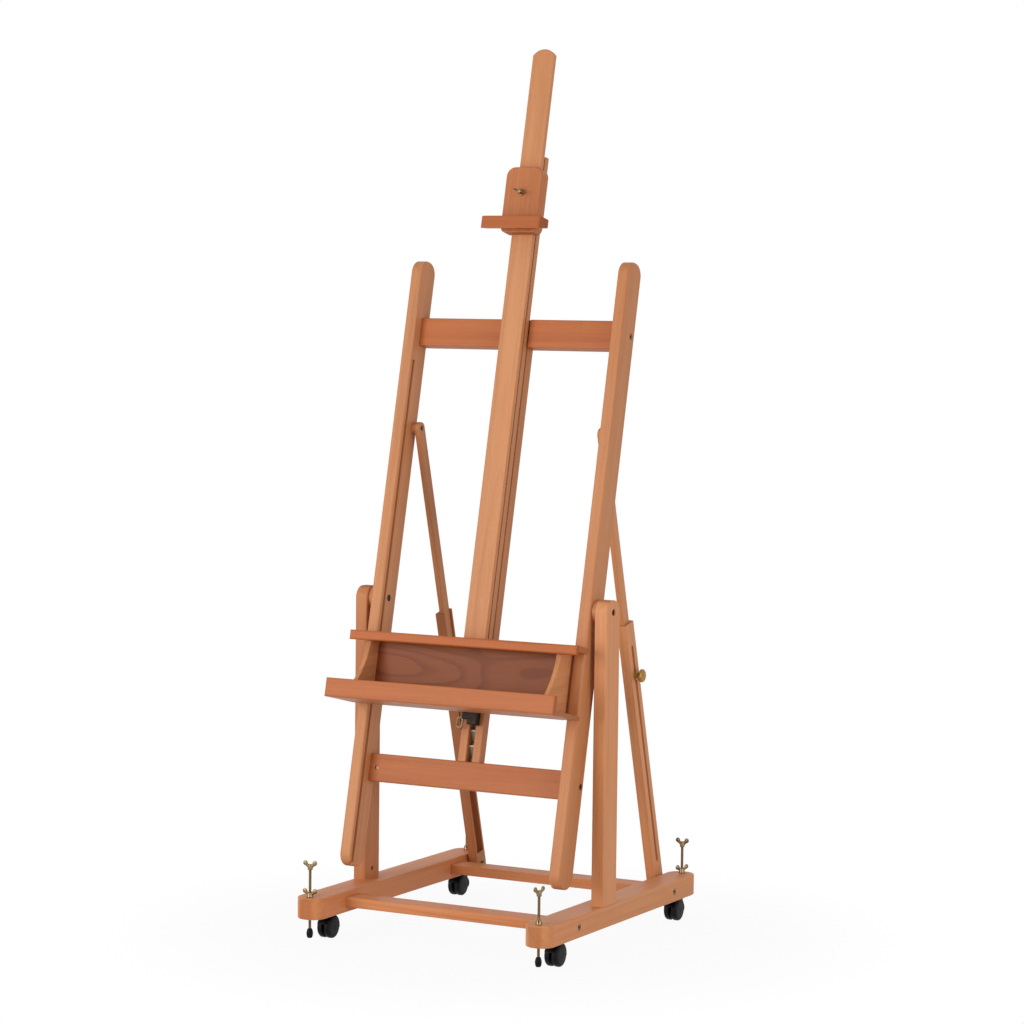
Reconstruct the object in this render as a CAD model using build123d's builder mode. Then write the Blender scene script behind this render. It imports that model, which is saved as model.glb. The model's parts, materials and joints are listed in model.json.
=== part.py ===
from build123d import *
import math
import os

# Wooden studio easel. Millimetres, Z up, floor at Z = 0, front towards -Y.
# The origin is on the floor under the middle of the base.

os.makedirs("parts", exist_ok=True)

# Base
BASE_WIDTH = 600.0
BASE_LENGTH = 700.0
RAIL_WIDTH = 62.0
RAIL_HEIGHT = 45.0
RAIL_BOTTOM = 52.5
RAIL_TOP = RAIL_BOTTOM + RAIL_HEIGHT
RAIL_END_RADIUS = 30.5
RAIL_X = BASE_WIDTH / 2 - RAIL_WIDTH / 2
RAIL_INNER = BASE_WIDTH / 2 - RAIL_WIDTH
BAR_DEPTH = 52.0
BAR_HEIGHT = 21.0
BAR_BOTTOM = 64.5
BAR_Y = {"front": -214.0, "rear": 229.0}
BAR_BOLT_Z = BAR_BOTTOM + BAR_HEIGHT / 2
BAR_BARREL_X = RAIL_INNER - 30.0

# Knock-down fasteners: radii and depths of the bolts, their recesses and the barrel nuts
BOLT = 4.0
BOLT_HOLE = 4.05
HEAD = 6.5
RECESS = 7.0
RECESS_DEPTH = 8.0
BOLT_SINK = 0.8
HEAD_LENGTH = RECESS_DEPTH - BOLT_SINK
BARREL = 4.95
BARREL_HOLE = 5.0
BARREL_INSET = 3.0
NUT_THREAD = 4.1

# Posts and the hinge of the tilting frame
POST_WIDTH = 29.0
POST_DEPTH = 60.0
POST_INNER = BASE_WIDTH / 2 - POST_WIDTH
POST_TOP = 726.5
POST_ROUND = 24.0
POST_X = BASE_WIDTH / 2 - POST_WIDTH / 2
POST_BARREL_Z = RAIL_TOP + 21.0
PIVOT_Y = -78.5
PIVOT_Z = 702.0
TILT = 12.67

# Tilting frame, in its own directions: x across, y behind its front plane, z along it from the hinge
FRAME_OUTER = 261.0
FRAME_INNER = 235.0
FRAME_DEPTH = 60.0
FRAME_ROUND = 27.0
FRAME_BARREL_X = FRAME_INNER - 18.0
FRAME_BOTTOM = -571.0
FRAME_TOP = 732.0
PIVOT_DEPTH = 30.0
PIVOT_SHANK = 4.95
PIVOT_HOLE = 5.0
PIVOT_NUT = 7.0
SPACER_RADIUS = 24.0
TOP_BAR = (25.0, 60.0, 548.0, 608.0)
LOW_BAR = (35.0, 60.0, -389.0, -330.0)
GROOVE = (8.0, 16.0, 513.0, 7.0)
LEG_INNER = 7.75
LEG_OUTER = 26.0
LEG_FRONT = 36.0
RACK_BACK = 58.0
RACK_PITCH = 32.0
RACK_TEETH = 22
RACK_START = -327.0
RACK_TIP = 44.0
RACK_ROOT = 54.0

# Tray and mast, in the directions of the frame
TRAY_HALF = 269.0
LEDGE = (-56.0, -46.0, -100.5, -80.5)
LIP = (-126.5, -115.5, -230.0, -190.5)
TRAY_FLOOR = (-115.5, -8.0, -230.0, -220.5)
SHELF_UNDER = LEDGE[3] - 12.0
CHEEK_INNER = 220.0
CHEEK_OUTER = 230.0
CHEEK_BACK = 18.0
CHEEK_SCOOP = 16.0
CHANNEL_TOP = 958.0
CHANNEL_BOTTOM = -200.0
SLAT_HALF = 26.0
SLAT_TOP = 1191.0
SLAT_ARCH = 13.5
SLAT_THICK = 10.0
SLAT_BOTTOM = -186.0
PAWL_DEPTH = 24.0
PAWL_HEIGHT = -207.0
PAWL_PIN = 3.0
PULL_RING = -251.0
HOUSING = (14.5, 34.0, -254.0, CHANNEL_BOTTOM)

# Upper canvas holder, in the directions of the frame
HOLDER = (-22.0, 6.0, 785.0, 927.0)
HOLDER_HALF = 43.0
HOLDER_SCREW = 871.0
KEEPER = (805.0, 915.0)
JAW_HALF = 71.0
JAW_FRONT = -60.0
JAW_TOP = 812.0
JAW_RISE = 7.6
JAW_RELIEF = -24.0
JAW_STEP = 3.0

# Struts, in their own directions: x across, y towards the back, z from the foot to the top pivot
FOOT_Y = 297.0
FOOT_Z = 75.0
ARM_PIVOT_DEPTH = 45.0
ARM_PIVOT_HEIGHT = 371.0
ARM_X = (210.5, 232.0)
UPPER_X = (213.8, 225.0)
ARM_WEB = 225.2
LOWER_HALF = 19.0
LOWER_TOP = 605.0
UPPER_HALF = 13.0
UPPER_BOSS = 11.4
CLAMP_FROM_TOP = 537.0
SLOT_HALF = 4.3
SLOT_ENDS = (58.0, 551.0)
ARM_BOLT = 3.85
ARM_HOLE = 3.9

# Casters and levelling screws
CASTER_Y = 275.0
CASTER_TRAIL = 17.5
CASTER_GAP = 2.3
WHEEL_RADIUS = 23.5
WHEEL_X = (2.8, 15.3)
AXLE = 3.0
HOOD_HALF = 13.0
HOOD_WEB = 2.2
HOOD_RADII = (24.4, 25.4)
SWIVEL_PIN = 3.0
SWIVEL_BOTTOM = 44.4
SWIVEL_SLEEVE = 5.2
LEVEL_Y = 330.0
SCREW = 3.0
SCREW_TOP = 156.0
WING_THICK = 2.8
WING_TIP = 5.4
FOOT_BOTTOM = 12.0
FOOT_TOP = 32.0
CORNERS = {"front_left": (-1, -1), "front_right": (1, -1), "rear_left": (-1, 1), "rear_right": (1, 1)}
SIDES = {"left": -1, "right": 1}

# Workplanes
sin_t = math.sin(math.radians(TILT))
cos_t = math.cos(math.radians(TILT))
UP = Vector(0, sin_t, cos_t)
BACK = Vector(0, cos_t, -sin_t)
FRAME_ORIGIN = Vector(0, PIVOT_Y, PIVOT_Z) - BACK * PIVOT_DEPTH
FRAME = Plane(origin=FRAME_ORIGIN, x_dir=(1, 0, 0), z_dir=UP)
FRAME_SIDE = Plane(origin=FRAME_ORIGIN, x_dir=BACK, z_dir=(1, 0, 0))
FRAME_FRONT = Plane(origin=FRAME_ORIGIN, x_dir=(1, 0, 0), z_dir=BACK * -1)
ALONG_FRAME = Axis((0, 0, 0), UP)
DEEP = Axis((0, 0, 0), BACK)

ARM_PIVOT = FRAME_ORIGIN + UP * ARM_PIVOT_HEIGHT + BACK * ARM_PIVOT_DEPTH
FOOT = Vector(0, FOOT_Y, FOOT_Z)
ARM_LENGTH = (ARM_PIVOT - FOOT).length
ALONG_STRUT = (ARM_PIVOT - FOOT).normalized()
STRUT = Plane(origin=FOOT, x_dir=(1, 0, 0), z_dir=ALONG_STRUT)
CLAMP_AT = ARM_LENGTH - CLAMP_FROM_TOP


def save(builder, name):
    """Names a finished piece and writes its file."""
    builder.part.label = name
    export_step(builder.part, f"parts/{name}.step")


def block(x0, x1, y0, y1, z0, z1, mode=Mode.ADD):
    """A box between two corners, in the open workplane."""
    with Locations(((x0 + x1) / 2, (y0 + y1) / 2, (z0 + z1) / 2)):
        Box(abs(x1 - x0), abs(y1 - y0), abs(z1 - z0), mode=mode)


def rod_x(x0, x1, y, z, radius, mode=Mode.ADD):
    """A cylinder along X, in the open workplane."""
    with Locations(((x0 + x1) / 2, y, z)):
        Cylinder(radius, abs(x1 - x0), rotation=(0, 90, 0), mode=mode)


def rod_y(x, y0, y1, z, radius, mode=Mode.ADD):
    """A cylinder along Y, in the open workplane."""
    with Locations((x, (y0 + y1) / 2, z)):
        Cylinder(radius, abs(y1 - y0), rotation=(90, 0, 0), mode=mode)


def rod_z(x, y, z0, z1, radius, mode=Mode.ADD):
    """A cylinder along Z, in the open workplane."""
    with Locations((x, y, (z0 + z1) / 2)):
        Cylinder(radius, abs(z1 - z0), mode=mode)


def bolt_x(head_x, end_x, y, z, shank=BOLT, head=HEAD, head_length=HEAD_LENGTH):
    """A socket-head bolt along X whose head's face is at head_x."""
    way = 1 if end_x > head_x else -1
    rod_x(head_x, head_x + way * head_length, y, z, head)
    rod_x(head_x + way * head_length, end_x, y, z, shank)
    rod_x(head_x, head_x + way * head_length * 0.6, y, z, head / 2, Mode.SUBTRACT)


def middle(bar):
    """The depth and height of a frame cross bar's bolts."""
    return (bar[0] + bar[1]) / 2, (bar[2] + bar[3]) / 2


# Base rails: long runners with rounded ends
def base_rail(side):
    x, inner, outer = side * RAIL_X, side * RAIL_INNER, side * BASE_WIDTH / 2
    with BuildPart() as rail:
        with BuildSketch(Plane.XY.offset(RAIL_BOTTOM)):
            with Locations((x, 0)):
                RectangleRounded(RAIL_WIDTH, BASE_LENGTH, RAIL_END_RADIUS)
        extrude(amount=RAIL_HEIGHT)
        fillet(rail.faces().sort_by(Axis.Z)[-1].edges(), radius=3)
        fillet(rail.faces().sort_by(Axis.Z)[0].edges(), radius=3)
        for end in (-1, 1):
            rod_z(x, end * LEVEL_Y, RAIL_BOTTOM, RAIL_TOP, SCREW + 0.2, Mode.SUBTRACT)
            rod_z(x, end * CASTER_Y, RAIL_BOTTOM, RAIL_BOTTOM + 33, 5, Mode.SUBTRACT)
        for y in BAR_Y.values():
            rod_x(inner, outer, y, BAR_BOLT_Z, BOLT_HOLE, Mode.SUBTRACT)
            rod_x(outer - side * RECESS_DEPTH, outer, y, BAR_BOLT_Z, RECESS, Mode.SUBTRACT)
        rod_z(side * POST_X, PIVOT_Y, RAIL_BOTTOM, RAIL_TOP, BOLT_HOLE, Mode.SUBTRACT)
        rod_z(side * POST_X, PIVOT_Y, RAIL_BOTTOM, RAIL_BOTTOM + RECESS_DEPTH, RECESS, Mode.SUBTRACT)
        rod_x(inner, inner + side * 20, FOOT_Y, FOOT_Z, BOLT, Mode.SUBTRACT)
    return rail


# Base cross bars: flat boards between the runners
def base_crossbar(y):
    with BuildPart() as bar:
        with Locations((0, y, BAR_BOLT_Z)):
            Box(2 * RAIL_INNER, BAR_DEPTH, BAR_HEIGHT)
        fillet(bar.edges().filter_by(Axis.X), radius=2)
        for side in SIDES.values():
            rod_x(side * (RAIL_INNER - 40), side * RAIL_INNER, y, BAR_BOLT_Z, BOLT_HOLE, Mode.SUBTRACT)
            rod_z(side * BAR_BARREL_X, y, BAR_BOTTOM, BAR_BOTTOM + 16, BARREL_HOLE, Mode.SUBTRACT)
    return bar


# Posts: uprights with rounded tops
def post(side):
    inner, outer = side * POST_INNER, side * BASE_WIDTH / 2
    shoulder = POST_TOP - POST_ROUND
    with BuildPart() as upright:
        with BuildSketch(Plane.YZ.offset(min(inner, outer))):
            with BuildLine():
                y0, y1 = PIVOT_Y - POST_DEPTH / 2, PIVOT_Y + POST_DEPTH / 2
                Polyline((y0, shoulder), (y0, RAIL_TOP), (y1, RAIL_TOP), (y1, shoulder))
                RadiusArc((y1, shoulder), (y1 - POST_ROUND, POST_TOP), -POST_ROUND)
                Line((y1 - POST_ROUND, POST_TOP), (y0 + POST_ROUND, POST_TOP))
                RadiusArc((y0 + POST_ROUND, POST_TOP), (y0, shoulder), -POST_ROUND)
            make_face()
        extrude(amount=POST_WIDTH)
        for face in (upright.faces().sort_by(Axis.X)[0], upright.faces().sort_by(Axis.X)[-1]):
            long_edges = face.edges().filter_by(lambda e: e.center().Z > RAIL_TOP + 1)
            fillet(long_edges, radius=3.5)
        rod_x(inner, outer, PIVOT_Y, PIVOT_Z, PIVOT_HOLE, Mode.SUBTRACT)
        rod_x(outer - side * RECESS_DEPTH, outer, PIVOT_Y, PIVOT_Z, PIVOT_NUT + 0.2, Mode.SUBTRACT)
        rod_z(side * POST_X, PIVOT_Y, RAIL_TOP, RAIL_TOP + 34, BOLT_HOLE, Mode.SUBTRACT)
        rod_x(inner, side * (POST_X + 6), PIVOT_Y, POST_BARREL_Z, BARREL_HOLE, Mode.SUBTRACT)
    return upright


for name, side in SIDES.items():
    save(base_rail(side), f"base_rail_{name}")
    save(post(side), f"post_{name}")
for name, y in BAR_Y.items():
    save(base_crossbar(y), f"base_crossbar_{name}")

# Knock-down fasteners of the base: barrel nuts, then the bolts through them
with BuildPart() as base_fasteners:
    for side in SIDES.values():
        barrel_x = side * BAR_BARREL_X
        for y in BAR_Y.values():
            rod_z(barrel_x, y, BAR_BOTTOM + BARREL_INSET, BAR_BOTTOM + 15.5, BARREL)
            rod_x(barrel_x - 8, barrel_x + 8, y, BAR_BOLT_Z, NUT_THREAD, Mode.SUBTRACT)
            bolt_x(side * (BASE_WIDTH / 2 - BOLT_SINK), side * (RAIL_INNER - 38), y, BAR_BOLT_Z)
        rod_x(side * (POST_INNER + BARREL_INSET), side * (POST_X + 5.5), PIVOT_Y, POST_BARREL_Z, BARREL)
        rod_z(side * POST_X, PIVOT_Y, RAIL_TOP + 10, RAIL_TOP + 40, NUT_THREAD, Mode.SUBTRACT)
        rod_z(side * POST_X, PIVOT_Y, RAIL_BOTTOM + 2, RAIL_BOTTOM + RECESS_DEPTH, HEAD)
        rod_z(side * POST_X, PIVOT_Y, RAIL_BOTTOM + RECESS_DEPTH, RAIL_TOP + 32, BOLT)
save(base_fasteners, "base_fasteners")

# Hinge of the tilting frame: wooden spacers, and bolts with round slotted nuts
with BuildPart() as pivot_spacers:
    for side in SIDES.values():
        rod_x(side * (FRAME_OUTER + 0.3), side * POST_INNER, PIVOT_Y, PIVOT_Z, SPACER_RADIUS)
        rod_x(side * FRAME_OUTER, side * POST_INNER, PIVOT_Y, PIVOT_Z, PIVOT_HOLE, Mode.SUBTRACT)
save(pivot_spacers, "pivot_spacers")

with BuildPart() as pivot_hardware:
    for side in SIDES.values():
        face = FRAME_INNER + 0.2
        rod_x(side * face, side * (face + 3.4), PIVOT_Y, PIVOT_Z, PIVOT_NUT)
        rod_x(side * face, side * (face + 3.4), PIVOT_Y, PIVOT_Z, PIVOT_HOLE, Mode.SUBTRACT)
        block(side * face, side * (face + 1.6), PIVOT_Y - 1.3, PIVOT_Y + 1.3, PIVOT_Z - 8, PIVOT_Z + 8,
              Mode.SUBTRACT)
        bolt_x(side * (BASE_WIDTH / 2 - RECESS_DEPTH + 5), side * (face + 0.4), PIVOT_Y, PIVOT_Z,
               PIVOT_SHANK, PIVOT_NUT, 5)
save(pivot_hardware, "pivot_hardware")

# Bolts and washers on which the struts swing
with BuildPart() as strut_foot_bolts:
    for side in SIDES.values():
        rod_x(side * (ARM_X[1] + 0.3), side * RAIL_INNER, FOOT_Y, FOOT_Z, 9)
        rod_x(side * ARM_X[1], side * RAIL_INNER, FOOT_Y, FOOT_Z, BOLT, Mode.SUBTRACT)
        bolt_x(side * (ARM_X[0] - 6.3), side * (RAIL_INNER + 19.5), FOOT_Y, FOOT_Z, 3.95, 7, 6)
save(strut_foot_bolts, "strut_foot_bolts")


# Tilting frame: rails with round ends and a groove for the tray's runners
def frame_rail(side):
    inner, outer = side * FRAME_INNER, side * FRAME_OUTER
    low = min(inner, outer)
    with BuildPart(FRAME) as rail:
        with BuildSketch(FRAME_SIDE.offset(low)):
            with Locations((FRAME_DEPTH / 2, (FRAME_TOP + FRAME_BOTTOM) / 2)):
                RectangleRounded(FRAME_DEPTH, FRAME_TOP - FRAME_BOTTOM, FRAME_ROUND)
        extrude(amount=FRAME_OUTER - FRAME_INNER)
        fillet(rail.faces().sort_by(Axis.X)[0].edges(), radius=4)
        fillet(rail.faces().sort_by(Axis.X)[-1].edges(), radius=4)
        block(inner, inner + side * GROOVE[3], GROOVE[0], GROOVE[1], FRAME_BOTTOM - 5, GROOVE[2],
              Mode.SUBTRACT)
        rod_x(inner, outer, PIVOT_DEPTH, 0, PIVOT_HOLE, Mode.SUBTRACT)
        rod_x(inner, inner + side * 4.2, PIVOT_DEPTH, 0, PIVOT_NUT + 0.4, Mode.SUBTRACT)
        for bar in (TOP_BAR, LOW_BAR):
            rod_x(inner, outer, *middle(bar), BOLT_HOLE, Mode.SUBTRACT)
            rod_x(outer - side * RECESS_DEPTH, outer, *middle(bar), RECESS, Mode.SUBTRACT)
        rod_x(inner, inner + side * 14, ARM_PIVOT_DEPTH, ARM_PIVOT_HEIGHT, 5.5, Mode.SUBTRACT)
    return rail


for name, side in SIDES.items():
    save(frame_rail(side), f"frame_rail_{name}")

# Top cross bar, with a shallow notch that the mast runs through
with BuildPart(FRAME) as frame_crossbar_top:
    block(-FRAME_INNER, FRAME_INNER, *TOP_BAR)
    fillet(frame_crossbar_top.edges().filter_by(Axis.X), radius=2.5)
    block(-28.5, 28.5, TOP_BAR[0], TOP_BAR[0] + 8, TOP_BAR[2] - 1, TOP_BAR[3] + 1, Mode.SUBTRACT)
    notch = frame_crossbar_top.edges().filter_by(ALONG_FRAME).filter_by(lambda e: abs(e.center().X) < 40)
    fillet(notch.sort_by(DEEP)[:2], radius=3)
    for side in SIDES.values():
        d, s = middle(TOP_BAR)
        rod_x(side * (FRAME_INNER - 32), side * FRAME_INNER, d, s, BOLT_HOLE, Mode.SUBTRACT)
        rod_y(side * FRAME_BARREL_X, TOP_BAR[0] + 9, TOP_BAR[1], s, BARREL_HOLE, Mode.SUBTRACT)
save(frame_crossbar_top, "frame_crossbar_top")

# Lower cross bar: the left barrel nut is let into the front, the right one into the back
with BuildPart(FRAME) as frame_crossbar_bottom:
    block(-FRAME_INNER, FRAME_INNER, *LOW_BAR)
    fillet(frame_crossbar_bottom.edges().filter_by(Axis.X), radius=2.5)
    for side in SIDES.values():
        d, s = middle(LOW_BAR)
        rod_x(side * (FRAME_INNER - 32), side * FRAME_INNER, d, s, BOLT_HOLE, Mode.SUBTRACT)
        rod_y(side * FRAME_BARREL_X, d + side * 12.5, d - side * 6.5, s, BARREL_HOLE, Mode.SUBTRACT)
save(frame_crossbar_bottom, "frame_crossbar_bottom")

# Fixed legs between the cross bars, with the toothed rack between them
for name, side in SIDES.items():
    with BuildPart(FRAME) as guide_leg:
        block(side * LEG_INNER, side * LEG_OUTER, LEG_FRONT, FRAME_DEPTH, LOW_BAR[3], TOP_BAR[2])
        fillet(guide_leg.edges().filter_by(ALONG_FRAME), radius=2)
    save(guide_leg, f"guide_leg_{name}")

with BuildPart() as ratchet_rack:
    with BuildSketch(FRAME_SIDE.offset(-LEG_INNER)):
        with BuildLine():
            points = [(RACK_BACK, RACK_START - 2.5), (RACK_ROOT, RACK_START - 2.5)]
            for tooth in range(RACK_TEETH):
                foot = RACK_START + tooth * RACK_PITCH
                points += [(RACK_ROOT, foot + 5), (RACK_TIP, foot + RACK_PITCH - 3)]
                points += [(RACK_TIP, foot + RACK_PITCH), (RACK_ROOT, foot + RACK_PITCH)]
            points += [(RACK_BACK, points[-1][1])]
            Polyline(*points, close=True)
        make_face()
    extrude(amount=2 * LEG_INNER)
save(ratchet_rack, "ratchet_rack")

# Fasteners of the frame: barrel nuts, bolts and the inserts for the struts' top pivots
with BuildPart(FRAME) as frame_fasteners:
    for side in SIDES.values():
        barrel_x = side * FRAME_BARREL_X
        low_d = middle(LOW_BAR)[0]
        top_ends = (TOP_BAR, 34.5, TOP_BAR[1] - BARREL_INSET)
        low_ends = (LOW_BAR, low_d + side * 9.5, low_d - side * 6)
        for bar, d0, d1 in (top_ends, low_ends):
            d, s = middle(bar)
            rod_y(barrel_x, d0, d1, s, BARREL)
            rod_x(barrel_x - 8, barrel_x + 8, d, s, NUT_THREAD, Mode.SUBTRACT)
            bolt_x(side * (FRAME_OUTER - BOLT_SINK), side * (FRAME_INNER - 30), d, s)
        d, s = ARM_PIVOT_DEPTH, ARM_PIVOT_HEIGHT
        rod_x(side * (FRAME_INNER + 0.3), side * (FRAME_INNER + 13.5), d, s, 5.45)
        rod_x(side * FRAME_INNER, side * (FRAME_INNER + 12), d, s, ARM_HOLE, Mode.SUBTRACT)
save(frame_fasteners, "frame_fasteners")

# Tray: ledge, shelf, back, floor, lip, cheeks and runners
with BuildPart(FRAME) as tray_ledge:
    block(-TRAY_HALF, TRAY_HALF, *LEDGE)
    fillet(tray_ledge.faces().sort_by(DEEP)[0].edges(), radius=4)
save(tray_ledge, "tray_ledge")

with BuildPart(FRAME) as tray_shelf:
    block(-TRAY_HALF, TRAY_HALF, LEDGE[1], -1, SHELF_UNDER, LEDGE[3])
save(tray_shelf, "tray_shelf")

with BuildPart(FRAME) as tray_back:
    block(-CHEEK_INNER, CHEEK_INNER, -12, -2, TRAY_FLOOR[3], SHELF_UNDER)
save(tray_back, "tray_back")

with BuildPart(FRAME) as tray_floor:
    block(-TRAY_HALF, TRAY_HALF, *TRAY_FLOOR)
    block(-CHEEK_OUTER, CHEEK_OUTER, TRAY_FLOOR[1], -1, TRAY_FLOOR[2], TRAY_FLOOR[3])
    fillet(tray_floor.edges().filter_by(Axis.X).sort_by(Axis.Z)[0], radius=2)
save(tray_floor, "tray_floor")

with BuildPart(FRAME) as tray_lip:
    block(-TRAY_HALF, TRAY_HALF, *LIP)
    fillet(tray_lip.edges().filter_by(Axis.X).sort_by(ALONG_FRAME)[-2:].sort_by(DEEP)[-1], radius=3)
    fillet(tray_lip.faces().sort_by(DEEP)[0].edges(), radius=3)
save(tray_lip, "tray_lip")

for name, side in SIDES.items():
    with BuildPart() as tray_cheek:
        with BuildSketch(FRAME_SIDE.offset(min(side * CHEEK_INNER, side * CHEEK_OUTER))):
            with BuildLine():
                top, toe = (LEDGE[1], LEDGE[2]), (LIP[1], TRAY_FLOOR[3])
                scoop = ((top[0] + toe[0]) / 2 + CHEEK_SCOOP, (top[1] + toe[1]) / 2)
                ThreePointArc(top, scoop, toe)
                Polyline(toe, (CHEEK_BACK, TRAY_FLOOR[3]), (CHEEK_BACK, SHELF_UNDER),
                         (LEDGE[1], SHELF_UNDER), top)
            make_face()
        extrude(amount=CHEEK_OUTER - CHEEK_INNER)
        fillet(tray_cheek.edges().sort_by(SortBy.LENGTH)[-2:], radius=2)
    save(tray_cheek, f"tray_cheek_{name}")

with BuildPart(FRAME) as tray_runners:
    for side in SIDES.values():
        block(side * CHEEK_OUTER, side * (FRAME_INNER + GROOVE[3] - 1), GROOVE[0] + 0.6, GROOVE[1] - 0.6,
              TRAY_FLOOR[3] + 5, LEDGE[2] - 5)
save(tray_runners, "tray_runners")

# Mast: a channel that rides with the tray, and the slat that slides out of it
with BuildPart(FRAME) as mast_channel:
    block(-SLAT_HALF, SLAT_HALF, 14, 31, CHANNEL_BOTTOM, CHANNEL_TOP)
    chamfer(mast_channel.edges().filter_by(Axis.X).sort_by(ALONG_FRAME)[-2:], length=3)
    fillet(mast_channel.edges().filter_by(ALONG_FRAME).sort_by(DEEP)[-2:], radius=2)
    block(-13, 13, 14, 25, CHANNEL_BOTTOM + 12, CHANNEL_TOP, Mode.SUBTRACT)
    block(-SLAT_HALF, SLAT_HALF, -2, 14, CHANNEL_BOTTOM, CHANNEL_BOTTOM + 12)
save(mast_channel, "mast_channel")

with BuildPart(FRAME) as mast_slat:
    with BuildSketch(FRAME_FRONT):
        with BuildLine():
            shoulder = SLAT_TOP - SLAT_ARCH
            Polyline((-SLAT_HALF, shoulder), (-SLAT_HALF, SLAT_BOTTOM), (SLAT_HALF, SLAT_BOTTOM),
                     (SLAT_HALF, shoulder))
            ThreePointArc((SLAT_HALF, shoulder), (0, SLAT_TOP), (-SLAT_HALF, shoulder))
        make_face()
    extrude(amount=-SLAT_THICK)
    fillet(mast_slat.faces().sort_by(DEEP)[0].edges(), radius=2)
    block(-12.7, 12.7, SLAT_THICK, 24.6, SLAT_BOTTOM, SLAT_TOP - 18)
save(mast_slat, "mast_slat")

# Ratchet under the tray: housing, and the pawl with its pull ring
with BuildPart(FRAME) as ratchet_housing:
    block(-16.5, 16.5, *HOUSING)
    block(-16.5, -3, HOUSING[0], HOUSING[1], HOUSING[2], HOUSING[2] + 11, Mode.SUBTRACT)
    fillet(ratchet_housing.edges().filter_by(Axis.X).sort_by(DEEP)[:4].sort_by(ALONG_FRAME)[:2], radius=3)
    block(-6, 6, 17.5, HOUSING[1], HOUSING[2] - 1, CHANNEL_BOTTOM + 1, Mode.SUBTRACT)
    rod_x(-17, 17, PAWL_DEPTH, PAWL_HEIGHT, PAWL_PIN + 0.05, Mode.SUBTRACT)
save(ratchet_housing, "ratchet_housing")

with BuildPart(FRAME) as ratchet_pawl:
    with BuildSketch(FRAME_SIDE.offset(-5.5)):
        with Locations((PAWL_DEPTH, PAWL_HEIGHT)):
            Circle(5.8)
        with BuildLine():
            Polyline((PAWL_DEPTH - 3, PAWL_HEIGHT - 4), (PAWL_DEPTH + 5, PAWL_HEIGHT - 1), (43.6, -224),
                     (43.6, -230.6), (36, -230.6), close=True)
        make_face()
    extrude(amount=11)
    rod_x(-23, 16, PAWL_DEPTH, PAWL_HEIGHT, PAWL_PIN)
    block(-23, -19.5, PAWL_DEPTH - PAWL_PIN, PAWL_DEPTH + PAWL_PIN, PULL_RING + 9, PAWL_HEIGHT)
    with BuildSketch(FRAME_FRONT.offset(-PAWL_DEPTH - 1.3)):
        with Locations((-24.5, PULL_RING)):
            SlotOverall(24, 15, rotation=90)
            SlotOverall(18, 9, rotation=90, mode=Mode.SUBTRACT)
    extrude(amount=2.6)
save(ratchet_pawl, "ratchet_pawl")

# Upper canvas holder: block, jaw, keeper behind the slat, wing screw
with BuildPart(FRAME) as holder_block:
    block(-HOLDER_HALF, HOLDER_HALF, *HOLDER)
    fillet(holder_block.edges().filter_by(DEEP).sort_by(ALONG_FRAME)[-2:], radius=20)
    fillet(holder_block.edges().filter_by(DEEP).sort_by(ALONG_FRAME)[:2], radius=12)
    fillet(holder_block.faces().sort_by(DEEP)[0].edges(), radius=3)
    block(-SLAT_HALF - 0.3, SLAT_HALF + 0.3, -0.3, HOLDER[1], HOLDER[2] - 1, HOLDER[3] + 1, Mode.SUBTRACT)
    rod_y(0, HOLDER[0] - 1, 1, HOLDER_SCREW, BOLT + 0.1, Mode.SUBTRACT)
save(holder_block, "holder_block")

# The jaw's underside rises to the back, so that it grips a canvas with its front edge
with BuildPart() as holder_jaw:
    with BuildSketch(FRAME_SIDE.offset(-JAW_HALF)):
        with BuildLine():
            Polyline((JAW_FRONT, HOLDER[2]), (JAW_RELIEF, HOLDER[2] + JAW_RISE),
                     (HOLDER[0], HOLDER[2] + JAW_RISE + JAW_STEP), (HOLDER[0], JAW_TOP),
                     (JAW_FRONT, JAW_TOP), close=True)
        make_face()
    extrude(amount=2 * JAW_HALF)
    fillet(holder_jaw.edges().filter_by(ALONG_FRAME).sort_by(DEEP)[:2], radius=7)
    fillet(holder_jaw.faces().sort_by(ALONG_FRAME)[-1].edges().sort_by(DEEP)[:-1], radius=2.5)
save(holder_jaw, "holder_jaw")

with BuildPart(FRAME) as holder_keeper:
    for side in SIDES.values():
        block(side * (SLAT_HALF + 0.4), side * (SLAT_HALF + 3.4), HOLDER[1], 13.6, *KEEPER)
        block(side * 17, side * (SLAT_HALF + 1), SLAT_THICK + 0.4, 13.6, *KEEPER)
save(holder_keeper, "holder_keeper")

with BuildPart(FRAME) as holder_wing_screw:
    rod_y(0, -33, -0.6, HOLDER_SCREW, BOLT)
    rod_y(0, -33, HOLDER[0] - 0.3, HOLDER_SCREW, 6)
    with BuildSketch(FRAME.offset(HOLDER_SCREW + WING_THICK / 2)):
        for side in SIDES.values():
            with Locations((side * 9, -37)):
                Circle(5)
        with BuildLine():
            Polyline((-5, -26), (5, -26), (11, -36), (7, -40), (2.5, -33), (-2.5, -33), (-7, -40),
                     (-11, -36), close=True)
        make_face()
    extrude(amount=-WING_THICK)
save(holder_wing_screw, "holder_wing_screw")


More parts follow.
